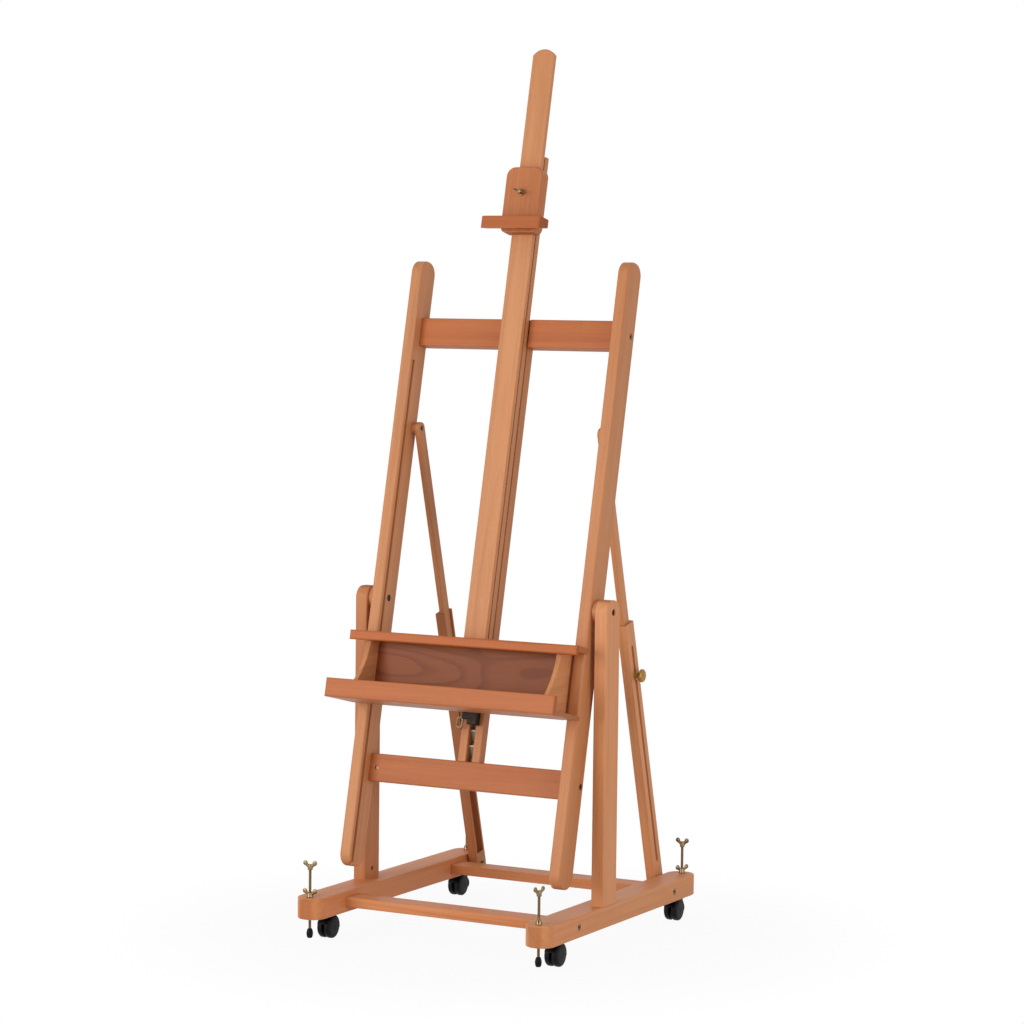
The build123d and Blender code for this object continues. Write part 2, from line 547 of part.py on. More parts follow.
# Struts: a lower arm with a long channel and slot, and an upper arm that slides in it
def strut_lower(side):
    inner, outer, web = side * ARM_X[0], side * ARM_X[1], side * ARM_WEB
    with BuildPart(STRUT) as arm:
        block(inner, outer, -LOWER_HALF, LOWER_HALF, 0, LOWER_TOP)
        rod_x(inner, outer, 0, 0, LOWER_HALF)
        fillet(arm.faces().sort_by(Axis.X)[0].edges(), radius=1.2)
        fillet(arm.faces().sort_by(Axis.X)[-1].edges(), radius=1.2)
        block(inner - side, web, -UPPER_HALF - 0.3, UPPER_HALF + 0.3, 30, LOWER_TOP + 1, Mode.SUBTRACT)
        block(web, outer, -SLOT_HALF, SLOT_HALF, *SLOT_ENDS, Mode.SUBTRACT)
        for end in SLOT_ENDS:
            rod_x(web, outer, 0, end, SLOT_HALF, Mode.SUBTRACT)
        rod_x(inner, outer, 0, 0, BOLT, Mode.SUBTRACT)
    return arm


def strut_upper(side):
    inner, outer = side * UPPER_X[0], side * UPPER_X[1]
    with BuildPart(STRUT) as arm:
        block(inner, outer, -UPPER_HALF, UPPER_HALF, CLAMP_AT - 20, ARM_LENGTH)
        rod_x(inner, outer, 0, ARM_LENGTH, UPPER_HALF)
        fillet(arm.faces().sort_by(Axis.X)[0].edges(), radius=1.5)
        fillet(arm.faces().sort_by(Axis.X)[-1].edges(), radius=1.5)
        rod_x(outer, side * (FRAME_INNER - 0.3), 0, ARM_LENGTH, UPPER_BOSS)
        rod_x(inner, side * FRAME_INNER, 0, ARM_LENGTH, ARM_HOLE, Mode.SUBTRACT)
        rod_x(inner, inner + side * 4, 0, ARM_LENGTH, 6, Mode.SUBTRACT)
        rod_x(inner, outer, 0, CLAMP_AT, ARM_HOLE, Mode.SUBTRACT)
        rod_x(inner, inner + side * 3.5, 0, CLAMP_AT, 7.5, Mode.SUBTRACT)
    return arm


# Each upper arm carries its top bolt and the clamp bolt
def strut_bolts(side):
    inner = side * UPPER_X[0]
    with BuildPart(STRUT) as bolts:
        bolt_x(inner + side * 0.6, side * (FRAME_INNER - 0.3), 0, ARM_LENGTH, ARM_BOLT, 5.6, 3.4)
        rod_x(inner, inner + side * 3.2, 0, CLAMP_AT, 7.2)
        rod_x(inner, side * (ARM_X[1] + 11), 0, CLAMP_AT, ARM_BOLT)
    return bolts


# Clamp knob: a turned head on a neck
def strut_knob(side):
    x = ARM_X[1] + 0.4
    centre = STRUT.from_local_coords((0, 0, CLAMP_AT))
    with BuildPart() as knob:
        with BuildSketch(Plane(origin=centre, x_dir=(side, 0, 0), z_dir=STRUT.y_dir)):
            with BuildLine():
                Polyline((x, 3.95), (x, 9), (x + 2.2, 9), (x + 2.2, 6.5), (x + 8.5, 6.5), (x + 11, 11.5))
                RadiusArc((x + 11, 11.5), (x + 13.5, 14), 3.5)
                Line((x + 13.5, 14), (x + 16.5, 14))
                RadiusArc((x + 16.5, 14), (x + 20, 10), 4)
                Polyline((x + 20, 10), (x + 21, 0), (x + 12, 0), (x + 12, 3.95), (x, 3.95))
            make_face()
        revolve(axis=Axis(centre, (1, 0, 0)))
    return knob


for name, side in SIDES.items():
    save(strut_lower(side), f"strut_lower_{name}")
    save(strut_upper(side), f"strut_upper_{name}")
    save(strut_bolts(side), f"strut_bolts_{name}")
    save(strut_knob(side), f"strut_knob_{name}")


# Levelling screws with wing heads, rubber feet and wing nuts
def wings(x, y, base, reach, lift, turn):
    """Two round wings on a hub, in an upright plane turned about the screw."""
    plane = Plane(origin=(x, y, base), x_dir=(math.cos(turn), math.sin(turn), 0),
                  z_dir=(math.sin(turn), -math.cos(turn), 0))
    return plane.offset(-WING_THICK / 2), [(-reach, lift), (reach, lift)], [
        (-4.2, 0), (4.2, 0), (reach + 2, lift - 4.5), (reach - 3.5, lift + 3.5), (3.4, 7), (-3.4, 7),
        (3.5 - reach, lift + 3.5), (-reach - 2, lift - 4.5)]


HEAD_TURN = {"front_left": 0.15, "front_right": 1.25, "rear_left": 2.07, "rear_right": 0.0}
NUT_TURN = {"front_left": 0.1, "front_right": 2.0, "rear_left": 2.07, "rear_right": 1.05}

for name, (side, end) in CORNERS.items():
    x, y = side * RAIL_X, end * LEVEL_Y
    with BuildPart() as levelling_screw:
        rod_z(x, y, FOOT_BOTTOM + 10, SCREW_TOP, SCREW)
        rod_z(x, y, SCREW_TOP - 2, SCREW_TOP + 9, 5)
        plane, centres, hub = wings(x, y, SCREW_TOP, 10.5, 12.5, HEAD_TURN[name])
        with BuildSketch(plane):
            with Locations(*centres):
                Circle(WING_TIP)
            with BuildLine():
                Polyline(*hub, close=True)
            make_face()
        extrude(amount=WING_THICK)
    save(levelling_screw, f"levelling_screw_{name}")

    with BuildPart() as levelling_foot:
        with BuildSketch(Plane.XZ.offset(-y)):
            with BuildLine():
                seat = FOOT_BOTTOM + 10
                bore = x + SCREW + 0.03
                Polyline((bore, seat), (x, seat), (x, FOOT_BOTTOM), (x + 4.2, FOOT_BOTTOM))
                ThreePointArc((x + 4.2, FOOT_BOTTOM), (x + 6.3, seat - 5.5), (x + 7, seat - 0.5))
                ThreePointArc((x + 7, seat - 0.5), (x + 6, FOOT_TOP - 4.5), (x + 3.9, FOOT_TOP))
                Polyline((x + 3.9, FOOT_TOP), (bore, FOOT_TOP), (bore, seat))
            make_face()
        revolve(axis=Axis((x, y, 0), (0, 0, 1)))
    save(levelling_foot, f"levelling_foot_{name}")

with BuildPart() as levelling_nuts:
    for name, (side, end) in CORNERS.items():
        x, y = side * RAIL_X, end * LEVEL_Y
        with Locations((x, y, RAIL_TOP + 4.5)):
            Cone(6.8, 5.2, 9)
        plane, centres, hub = wings(x, y, RAIL_TOP + 1.5, 11.5, 11, NUT_TURN[name])
        with BuildSketch(plane):
            with Locations(*centres):
                Circle(WING_TIP)
            with BuildLine():
                Polyline(*hub, close=True)
            make_face()
        extrude(amount=WING_THICK)
        rod_z(x, y, RAIL_TOP - 1, RAIL_TOP + 40, SCREW + 0.3, Mode.SUBTRACT)
save(levelling_nuts, "levelling_nuts")

# Casters: stems in the rails, swivelling hoods, twin wheels with domed sides
with BuildPart() as caster_stems:
    for side, end in CORNERS.values():
        x, y = side * RAIL_X, end * CASTER_Y
        rod_z(x, y, RAIL_BOTTOM - 2, RAIL_BOTTOM, 12)
        rod_z(x, y, RAIL_BOTTOM, RAIL_BOTTOM + 32, 4.95)
        rod_z(x, y, SWIVEL_BOTTOM + 0.5, RAIL_BOTTOM - 2, SWIVEL_PIN)
save(caster_stems, "caster_stems")

for name, (side, end) in CORNERS.items():
    x, y = side * RAIL_X, end * CASTER_Y
    axle = y + CASTER_TRAIL
    neck = RAIL_BOTTOM - CASTER_GAP
    with BuildPart() as caster_hood:
        with BuildSketch(Plane.YZ.offset(x - HOOD_HALF)):
            with Locations((axle, WHEEL_RADIUS)):
                Circle(HOOD_RADII[1])
                Circle(HOOD_RADII[0], mode=Mode.SUBTRACT)
            with Locations((axle, WHEEL_RADIUS - 22)):
                Rectangle(80, 50, mode=Mode.SUBTRACT)
        extrude(amount=2 * HOOD_HALF)
        with BuildSketch(Plane.YZ.offset(x - HOOD_WEB)):
            with Locations((axle, WHEEL_RADIUS)):
                Circle(8)
            with BuildLine():
                Polyline((axle - 8, WHEEL_RADIUS), (axle + 8, WHEEL_RADIUS), (axle + 10, neck - 2.7),
                         (y - 8, neck - 2.7), close=True)
            make_face()
        extrude(amount=2 * HOOD_WEB)
        rod_z(x, y, neck - 3.8, neck, 10)
        rod_z(x, y, SWIVEL_BOTTOM - 0.5, neck, SWIVEL_SLEEVE)
        rod_x(x - WHEEL_X[1], x + WHEEL_X[1], axle, WHEEL_RADIUS, AXLE)
        rod_z(x, y, SWIVEL_BOTTOM, RAIL_BOTTOM, SWIVEL_PIN + 0.08, Mode.SUBTRACT)
    save(caster_hood, f"caster_hood_{name}")

    with BuildPart() as caster_wheels:
        for way in (-1, 1):
            with BuildSketch(Plane(origin=(x, axle, WHEEL_RADIUS), x_dir=(way, 0, 0), z_dir=(0, -1, 0))):
                with BuildLine():
                    bore = AXLE + 0.08
                    inside, outside = WHEEL_X
                    Polyline((outside, bore), (inside, bore), (inside, WHEEL_RADIUS - 2))
                    RadiusArc((inside, WHEEL_RADIUS - 2), (inside + 2, WHEEL_RADIUS), 2)
                    Line((inside + 2, WHEEL_RADIUS), (outside - 4.5, WHEEL_RADIUS))
                    RadiusArc((outside - 4.5, WHEEL_RADIUS), (outside - 1.5, WHEEL_RADIUS - 4), 4)
                    Polyline((outside - 1.5, WHEEL_RADIUS - 4), (outside, 9), (outside, bore))
                make_face()
            revolve(axis=Axis((x, axle, WHEEL_RADIUS), (1, 0, 0)))
    save(caster_wheels, f"caster_wheels_{name}")
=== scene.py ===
"""Dresses the studio easel: oiled beech, bronze-coloured hardware, casters, and a plain white stage."""
import json
import math

import bpy
from mathutils import Matrix, Vector


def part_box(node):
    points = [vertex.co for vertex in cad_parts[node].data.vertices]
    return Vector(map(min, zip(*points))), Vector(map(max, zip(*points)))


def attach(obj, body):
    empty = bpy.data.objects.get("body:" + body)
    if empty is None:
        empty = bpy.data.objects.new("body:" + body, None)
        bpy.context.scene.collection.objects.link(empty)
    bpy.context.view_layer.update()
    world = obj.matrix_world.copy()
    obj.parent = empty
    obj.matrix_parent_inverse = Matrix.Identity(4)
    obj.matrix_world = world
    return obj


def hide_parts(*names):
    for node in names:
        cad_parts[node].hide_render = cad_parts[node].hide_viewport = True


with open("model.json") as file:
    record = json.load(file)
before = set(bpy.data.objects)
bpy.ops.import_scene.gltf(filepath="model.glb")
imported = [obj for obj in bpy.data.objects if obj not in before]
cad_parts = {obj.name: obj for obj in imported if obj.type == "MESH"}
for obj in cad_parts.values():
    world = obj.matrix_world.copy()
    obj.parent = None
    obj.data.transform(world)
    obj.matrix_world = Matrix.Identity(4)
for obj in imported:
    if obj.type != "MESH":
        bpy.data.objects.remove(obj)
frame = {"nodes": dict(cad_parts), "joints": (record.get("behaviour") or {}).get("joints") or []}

bl_info = {
    "name": "Studio Easel",
    "version": (1, 0, 0),
    "blender": (4, 5, 0),
    "location": "View3D > Sidebar > Easel",
    "description": "Oiled beech, hardware and stage for a tilting studio easel",
    "category": "Object",
}

NODES = frame["nodes"]
JOINTS = {joint["name"]: joint for joint in frame["joints"]}
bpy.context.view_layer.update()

ACROSS = Vector((1, 0, 0))
DEEP = Vector((0, 1, 0))
UPRIGHT = Vector((0, 0, 1))
ALONG_MAST = Vector(JOINTS["tray_lift"]["axis"]).normalized()
ALONG_STRUT = Vector(JOINTS["strut_extend_left"]["axis"]).normalized()
CORNERS = ("front_left", "front_right", "rear_left", "rear_right")
MM = 0.001

# The camera: its sensor's width in millimetres, then its focal length and the picture's width in pixels
SENSOR = 36.0
FOCAL = 3108.96
PICTURE = 1024

# Lamps: name, place, what it points at, size in metres and the property that holds its power
LAMPS = (
    ("Key lamp", (-2.0, -4.4, 1.7), (0, 0, 0.6), 2.6, "key"),
    ("Side lamp", (4.2, -1.6, 0.9), (0, 0, 0.4), 2.2, "rim"),
)
FLOOR_SIZE = 40
# Share of plain white in the floor close to the easel, where it keeps a shadow
FLOOR_WHITE = 0.93


class EaselFinish(bpy.types.PropertyGroup):
    """Colours and finishes of the easel."""

    beech: bpy.props.FloatVectorProperty(
        name="Beech", description="Oiled beech between its darker lines", subtype="COLOR", size=3,
        min=0, max=1, default=(0.640, 0.282, 0.122))
    beech_red: bpy.props.FloatVectorProperty(
        name="Red beech", description="Steamed, redder boards of the same wood", subtype="COLOR", size=3,
        min=0, max=1, default=(0.585, 0.178, 0.054))
    beech_dark: bpy.props.FloatVectorProperty(
        name="Beech lines", description="Darker late wood and flecks", subtype="COLOR", size=3,
        min=0, max=1, default=(0.400, 0.142, 0.050))
    zinc: bpy.props.FloatVectorProperty(
        name="Zinc", description="Yellow-passivated zinc of the screws", subtype="COLOR", size=3,
        min=0, max=1, default=(0.250, 0.172, 0.088))
    bronze: bpy.props.FloatVectorProperty(
        name="Bronze", description="Dark plating of pull ring and strut bolts", subtype="COLOR", size=3,
        min=0, max=1, default=(0.170, 0.110, 0.065))
    steel: bpy.props.FloatVectorProperty(
        name="Steel", description="Dull zinc of the rack", subtype="COLOR", size=3,
        min=0, max=1, default=(0.235, 0.190, 0.130))
    brass: bpy.props.FloatVectorProperty(
        name="Brass", description="Turned brass of the clamp knobs", subtype="COLOR", size=3,
        min=0, max=1, default=(0.360, 0.200, 0.052))
    black: bpy.props.FloatVectorProperty(
        name="Black", description="Moulded plastic of the casters", subtype="COLOR", size=3,
        min=0, max=1, default=(0.0014, 0.0014, 0.0015))
    blackened: bpy.props.FloatVectorProperty(
        name="Blackened steel", description="Ratchet housing and hinge bolts", subtype="COLOR", size=3,
        min=0, max=1, default=(0.034, 0.027, 0.021))


class EaselHardware(bpy.types.PropertyGroup):
    """Sizes of the small hardware, in millimetres."""

    wing_tip: bpy.props.FloatProperty(
        name="Wing tip", description="Radius of a wing's round end", min=1, max=20, default=5.4)
    wing_thickness: bpy.props.FloatProperty(
        name="Wing thickness", description="Thickness of a wing at its middle", min=1, max=10, default=3.2)
    head_reach: bpy.props.FloatProperty(
        name="Head reach", description="From the screw's axis to the middle of a wing",
        min=3, max=30, default=10.5)
    head_lift: bpy.props.FloatProperty(
        name="Head lift", description="From the head's base up to the middle of a wing",
        min=3, max=30, default=12.5)
    nut_reach: bpy.props.FloatProperty(
        name="Nut reach", description="From the nut's axis to the middle of a wing",
        min=3, max=30, default=11.5)
    nut_lift: bpy.props.FloatProperty(
        name="Nut lift", description="From the nut's base up to the middle of a wing",
        min=3, max=30, default=11.0)
    thread: bpy.props.FloatProperty(
        name="Thread", description="Outer radius of the levelling screws", min=1, max=10, default=3.0)
    pitch: bpy.props.FloatProperty(
        name="Pitch", description="Rise of a thread in one turn", min=0.3, max=5, default=1.25)


class EaselStage(bpy.types.PropertyGroup):
    """Floor, light and camera."""

    floor: bpy.props.FloatVectorProperty(
        name="Floor", description="Colour of the floor", subtype="COLOR", size=3,
        min=0, max=1, default=(0.80, 0.80, 0.80))
    sky: bpy.props.FloatProperty(
        name="Fill", description="Strength of the even light all round", min=0, max=5, default=0.54)
    key: bpy.props.FloatProperty(
        name="Key lamp", description="Power of the large lamp at the front", subtype="POWER",
        min=0, default=114)
    rim: bpy.props.FloatProperty(
        name="Side lamp", description="Power of the lamp at the right", subtype="POWER", min=0, default=52)
    lens: bpy.props.FloatProperty(
        name="Lens", description="Focal length of the camera", subtype="DISTANCE_CAMERA", min=10, max=300,
        default=SENSOR * FOCAL / PICTURE)
    camera_place: bpy.props.FloatVectorProperty(
        name="Camera", description="Place of the camera", subtype="TRANSLATION", unit="LENGTH", size=3,
        default=(3.1427, -5.7309, 1.3408))
    camera_turn: bpy.props.FloatVectorProperty(
        name="Camera turn", description="Azimuth, downward pitch and roll of the camera", subtype="EULER",
        size=3, default=(0.4992, 0.0687, 0.01124))


class Value:
    """A socket in a material, with Python's operators as Math nodes."""

    def __init__(self, shade, socket):
        self.shade = shade
        self.socket = socket

    def _math(self, operation, a, b=None):
        inputs = {0: a} if b is None else {0: a, 1: b}
        return self.shade.add("ShaderNodeMath", {"operation": operation}, inputs)

    def __add__(self, other):
        return self._math("ADD", self, other)

    def __radd__(self, other):
        return self._math("ADD", other, self)

    def __sub__(self, other):
        return self._math("SUBTRACT", self, other)

    def __rsub__(self, other):
        return self._math("SUBTRACT", other, self)

    def __mul__(self, other):
        return self._math("MULTIPLY", self, other)

    def __abs__(self):
        return self._math("ABSOLUTE", self)

    def fraction(self):
        return self._math("FRACT", self)

    def root(self):
        return self._math("SQRT", self)

    def between(self, low, high):
        """0 below low, 1 above high, smooth between."""
        return self.shade.add("ShaderNodeMapRange", {"interpolation_type": "SMOOTHSTEP"},
                              {"Value": self, "From Min": low, "From Max": high})


class Shade:
    """The nodes of one material or world."""

    def __init__(self, owner):
        self.owner = owner
        owner.use_nodes = True
        self.tree = owner.node_tree
        self.tree.nodes.clear()

    def add(self, kind, settings=None, inputs=None, out=0):
        """A node of that kind: its settings first, then the values or links of its sockets."""
        node = self.tree.nodes.new(kind)
        for key, value in (settings or {}).items():
            setattr(node, key, value)
        for key, value in (inputs or {}).items():
            self.put(node.inputs[key], value)
        return Value(self, node.outputs[out]) if node.outputs else node

    def put(self, socket, value):
        """Links a value to a socket, or sets the socket to a plain number, colour or vector."""
        if isinstance(value, Value):
            self.tree.links.new(value.socket, socket)
        elif socket.type == "RGBA":
            socket.default_value = (*value, 1)
        else:
            socket.default_value = value

    def place(self):
        return self.add("ShaderNodeTexCoord", out="Object")

    def facing(self):
        return self.add("ShaderNodeTexCoord", out="Normal")

    def dot(self, vector, axis):
        return self.add("ShaderNodeVectorMath", {"operation": "DOT_PRODUCT"}, {0: vector, 1: axis},
                        out="Value")

    def vector(self, x, y, z):
        return self.add("ShaderNodeCombineXYZ", None, {0: x, 1: y, 2: z})

    def noise(self, vector, scale, detail, rough):
        return self.add("ShaderNodeTexNoise", {"noise_dimensions": "3D"},
                        {"Vector": vector, "Scale": scale, "Detail": detail, "Roughness": rough})

    def mix(self, factor, a, b):
        return self.add("ShaderNodeMix", {"data_type": "RGBA"}, {0: factor, 6: a, 7: b}, out=2)

    def blend(self, factor, a, b):
        return self.add("ShaderNodeMixShader", None, {0: factor, 1: a, 2: b})

    def bump(self, height, distance, strength):
        return self.add("ShaderNodeBump", None,
                        {"Height": height, "Distance": distance, "Strength": strength})

    def seen(self):
        """1 where the camera looks, straight, in a mirror or through glass, and 0 for light that bounces."""
        kinds = ("Camera", "Glossy", "Transmission")
        rays = [self.add("ShaderNodeLightPath", out=f"Is {kind} Ray") for kind in kinds]
        return rays[0] + rays[1] + rays[2]

    def surface(self, **sockets):
        """Closes the material with a Principled shader. An underscore in a name stands for a space."""
        shader = self.add("ShaderNodeBsdfPrincipled", None,
                          {key.replace("_", " "): value for key, value in sockets.items()})
        self.add("ShaderNodeOutputMaterial", None, {"Surface": shader})
        return self.owner


def finish():
    return bpy.context.scene.easel_finish


# Noise in the wood: cycles in a metre along and across the grain, detail and roughness
GRAIN = {
    "drift": (1.7, 8.0, 2.0, 0.5),
    "ripple": (10.0, 50.0, 2.0, 0.5),
    "flame": (2.1, 8.5, 1.5, 0.4),
    "band": (1.3, 24.0, 2.0, 0.5),
    "streak": (5.0, 170.0, 3.0, 0.6),
    "line": (24.0, 900.0, 2.0, 0.6),
    "fleck": (170.0, 1300.0, 1.0, 0.4),
    "pore": (60.0, 2400.0, 1.0, 0.5),
    "patch": (2.6, 11.0, 2.0, 0.5),
}
# How far apart along the tree the boards are cut, in metres
BOARD_STEP = 1.37
# How far drift and ripple push the growth rings, in metres, and how many rings there are in a metre
RING_DRIFT = 0.024
RING_RIPPLE = 0.0018
RINGS = 210.0
FLAME_LINES = 11.0
# Share of dark wood everywhere, and what each kind of grain adds to it
GROUND = 0.26
DARKENING = {"band": 0.72, "streak": 0.66, "line": 0.34, "fleck": 0.22}
# What is left of red, green and blue where the oil has taken more
OILED = (0.96, 0.86, 0.74)
# How much of the end grain's own colour shows, and how dark that is beside the late wood
END_SHARE = 0.50
END_TONE = 0.72
# How dark tarnish is, and how much of it shows on metal
TARNISH_TONE = 0.55
TARNISH = 0.4


def beech(name, along, heart, tint_and_shade, redness, figure, flame, seed):
    """Oiled beech. Grain runs along one direction; heart is where the tree's centre passes, in metres."""
    shade = Shade(bpy.data.materials.new(name))
    look = finish()
    across = along.cross(ACROSS) if abs(along.dot(ACROSS)) < 0.9 else along.cross(UPRIGHT)
    across = across.normalized()
    third = along.cross(across).normalized()
    place = shade.place()
    u = shade.dot(place, along) + seed * BOARD_STEP
    v = shade.dot(place, across) - heart.dot(across)
    w = shade.dot(place, third) - heart.dot(third)

    def grain(kind, aside=0, beyond=0):
        """Noise drawn out along the board and moved across it."""
        run, side, detail, rough = GRAIN[kind]
        return shade.noise(shade.vector(u * run, v * side + aside, w * side + beyond), 1.0, detail, rough)

    # Growth rings of uneven width round the heart, wandering along the board
    drift = grain("drift", aside=seed) - 0.5
    ripple = grain("ripple", beyond=seed) - 0.5
    radius = (v * v + w * w).root() + drift * RING_DRIFT + ripple * RING_RIPPLE
    late = shade.noise(shade.vector(radius * RINGS, u * 0.7, seed), 1.0, 3.0, 0.6).between(0.46, 0.72)

    # Flame figure of flat-sawn veneer: thin lines that follow a smooth field
    field = (grain("flame", beyond=seed) * FLAME_LINES).fraction()
    flames = field.between(0.45, 0.93) - field.between(0.94, 1.0)

    # Tone that runs with the grain, from broad bands to fine lines, then short dark flecks and pores
    tones = {kind: grain(kind) - 0.5 for kind in ("band", "streak", "line")}
    tones["fleck"] = grain("fleck").between(0.61, 0.74)
    streak = tones["streak"]
    fleck = tones["fleck"]
    pore = grain("pore")

    depth = GROUND + late * figure + flames * flame
    for kind, share in DARKENING.items():
        depth = depth + tones[kind] * share
    depth = depth.between(-0.10, 1.10)
    cast = [1 + (red / plain - 1) * redness for red, plain in zip(look.beech_red, look.beech)]
    # The tint scales the whole board's colour: its own tone, and painted light and shade
    light = tuple(channel * tint_and_shade * turn for channel, turn in zip(look.beech, cast))
    dark = tuple(channel * tint_and_shade * turn for channel, turn in zip(look.beech_dark, cast))
    # Redder patches, as oil takes unevenly
    patch = grain("patch", beyond=seed).between(0.40, 0.70)
    red = tuple(channel * share for channel, share in zip(light, OILED))
    wood = shade.mix(depth, shade.mix(patch * 0.55, light, red), dark)
    # End grain drinks oil and goes darker
    end = abs(shade.dot(shade.facing(), along)).between(0.80, 0.97)
    wood = shade.mix(end * END_SHARE, wood, tuple(channel * END_TONE for channel in dark))
    rough = 0.46 - streak * 0.16 + fleck * 0.06 + end * 0.12
    height = streak * 0.45 + pore * 0.35 - fleck * 0.35 - late * 0.08
    return shade.surface(Base_Color=wood, Roughness=rough, Specular_IOR_Level=0.22,
                         Normal=shade.bump(height, 0.00020, 0.50))


def metal(name, colour, rough, brushed=None):
    """Plated or turned metal with a cloudy surface, brushed along a direction where one is given."""
    shade = Shade(bpy.data.materials.new(name))
    place = shade.place()
    cloud = shade.noise(place, 160.0, 3.0, 0.6)
    grain = shade.noise(place, 1500.0, 2.0, 0.6)
    if brushed is not None:
        along = shade.dot(place, brushed) * 90.0
        rest = shade.add("ShaderNodeVectorMath", {"operation": "SCALE"}, {0: place, "Scale": 1800.0})
        rest = shade.add("ShaderNodeVectorMath", {"operation": "CROSS_PRODUCT"}, {0: rest, 1: brushed})
        rest = shade.add("ShaderNodeVectorMath", {"operation": "ADD"},
                         {0: rest, 1: shade.vector(along, along, along)})
        grain = shade.noise(rest, 1.0, 2.0, 0.6)
    dull = cloud.between(0.38, 0.70)
    tone = shade.mix(dull * TARNISH, colour, tuple(channel * TARNISH_TONE for channel in colour))
    return shade.surface(Base_Color=tone, Metallic=1.0, Roughness=rough + dull * 0.14 + grain * 0.08,
                         Normal=shade.bump(grain * 0.6 + cloud * 0.4, 0.00008, 0.5))


def moulded(name, colour, rough, pitch=900.0, depth=0.00006):
    """Moulded plastic or rubber: fine texture, dust in the hollows of it."""
    shade = Shade(bpy.data.materials.new(name))
    place = shade.place()
    texture = shade.noise(place, pitch, 2.0, 0.55)
    scuff = shade.noise(place, 70.0, 4.0, 0.65).between(0.50, 0.80)
    tone = shade.mix(scuff * 0.35, colour, tuple(channel * 1.9 + 0.002 for channel in colour))
    return shade.surface(Base_Color=tone, Roughness=rough + scuff * 0.14 + texture * 0.06,
                         Specular_IOR_Level=0.14, Normal=shade.bump(texture, depth, 0.6))


def wear(node, material):
    """Gives a CAD node one material all over."""
    data = NODES[node].data
    data.materials.clear()
    data.materials.append(material)


def middle(node):
    low, high = (Vector(corner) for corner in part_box(node))
    return (low + high) / 2


def lone(piece):
    """Makes a piece the only one selected, and active."""
    bpy.ops.object.select_all(action="DESELECT")
    piece.select_set(True)
    bpy.context.view_layer.objects.active = piece


def shaped(piece, kind, **settings):
    """Gives a piece a modifier and applies it."""
    lone(piece)
    bpy.ops.object.modifier_add(type=kind)
    modifier = piece.modifiers[-1]
    for key, value in settings.items():
        setattr(modifier, key, value)
    bpy.ops.object.modifier_apply(modifier=modifier.name)


def turned(name, profile, sides=40, closed=True):
    """A piece turned about Z from (radius, height) pairs in millimetres, from one end to the other."""
    radius, height = profile[0]
    bpy.ops.object.select_all(action="DESELECT")
    bpy.ops.mesh.primitive_circle_add(vertices=sides, radius=radius * MM, location=(0, 0, height * MM),
                                      fill_type="NGON" if closed else "NOTHING", enter_editmode=True)
    for (before, low), (radius, height) in zip(profile, profile[1:]):
        bpy.ops.mesh.extrude_region_move(TRANSFORM_OT_translate={"value": (0, 0, (height - low) * MM)})
        scale = radius / before
        bpy.ops.transform.resize(value=(scale, scale, 1), center_override=(0, 0, height * MM))
    bpy.ops.mesh.select_all(action="SELECT")
    bpy.ops.mesh.normals_make_consistent(inside=False)
    bpy.ops.object.mode_set(mode="OBJECT")
    piece = bpy.context.object
    piece.name = name
    bpy.ops.object.transform_apply(location=True, rotation=True, scale=True)
    return piece


def seated(piece, place, axis=UPRIGHT, turn=0.0):
    """Moves a piece made about Z to its place, with Z along an axis, and leaves its object at the origin."""
    stand = UPRIGHT.rotation_difference(axis).to_matrix().to_4x4()
    piece.matrix_world = Matrix.Translation(place) @ stand @ Matrix.Rotation(turn, 4, "Z")
    lone(piece)
    bpy.ops.object.transform_apply(location=True, rotation=True, scale=True)
    return piece


def copied(piece, name):
    lone(piece)
    bpy.ops.object.duplicate(linked=False)
    copy = bpy.context.object
    copy.name = name
    return copy


def joined(name, pieces):
    lone(pieces[0])
    for piece in pieces[1:]:
        piece.select_set(True)
    bpy.ops.object.join()
    pieces[0].name = name
    pieces[0].data.name = name
    return pieces[0]


def dressed(piece, material, slot, body, *nodes, angle=40):
    """Finishes a piece: smooth faces, its material, the body it rides on and the CAD nodes it stands for."""
    lone(piece)
    bpy.ops.object.shade_smooth_by_angle(angle=math.radians(angle))
    piece.data.materials.clear()
    piece.data.materials.append(material)
    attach(piece, body)
    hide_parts(*nodes)


def cast_wings(name, hub, reach, lift):
    """A cast hub with two wings, its parts melted into one skin."""
    sizes = bpy.context.scene.easel_hardware
    parts = [turned(name, hub)]
    root = Vector(WING_ROOT) * MM
    ear = Vector((reach, 0, lift)) * MM
    length = (ear - root).length / MM
    for side in (-1, 1):
        mirror = Vector((side, 1, 1))
        bpy.ops.object.select_all(action="DESELECT")
        bpy.ops.mesh.primitive_uv_sphere_add(segments=32, ring_count=16, radius=sizes.wing_tip * MM,
                                             location=ear * mirror)
        tip = bpy.context.object
        tip.scale = (1, sizes.wing_thickness / sizes.wing_tip / 2, 1)
        limb = turned("limb", [(radius, length * share) for radius, share in LIMB], 24)
        limb.scale = (1, LIMB_FLATNESS, 1)
        lone(limb)
        bpy.ops.object.transform_apply(location=True, rotation=True, scale=True)
        parts += [tip, seated(limb, root * mirror, ((ear - root) * mirror).normalized())]
    wings = joined(name, parts)
    bpy.ops.object.transform_apply(location=True, rotation=True, scale=True)
    shaped(wings, "REMESH", mode="VOXEL", voxel_size=SKIN_GRID * MM)
    shaped(wings, "SMOOTH", factor=0.5, iterations=8)
    return wings


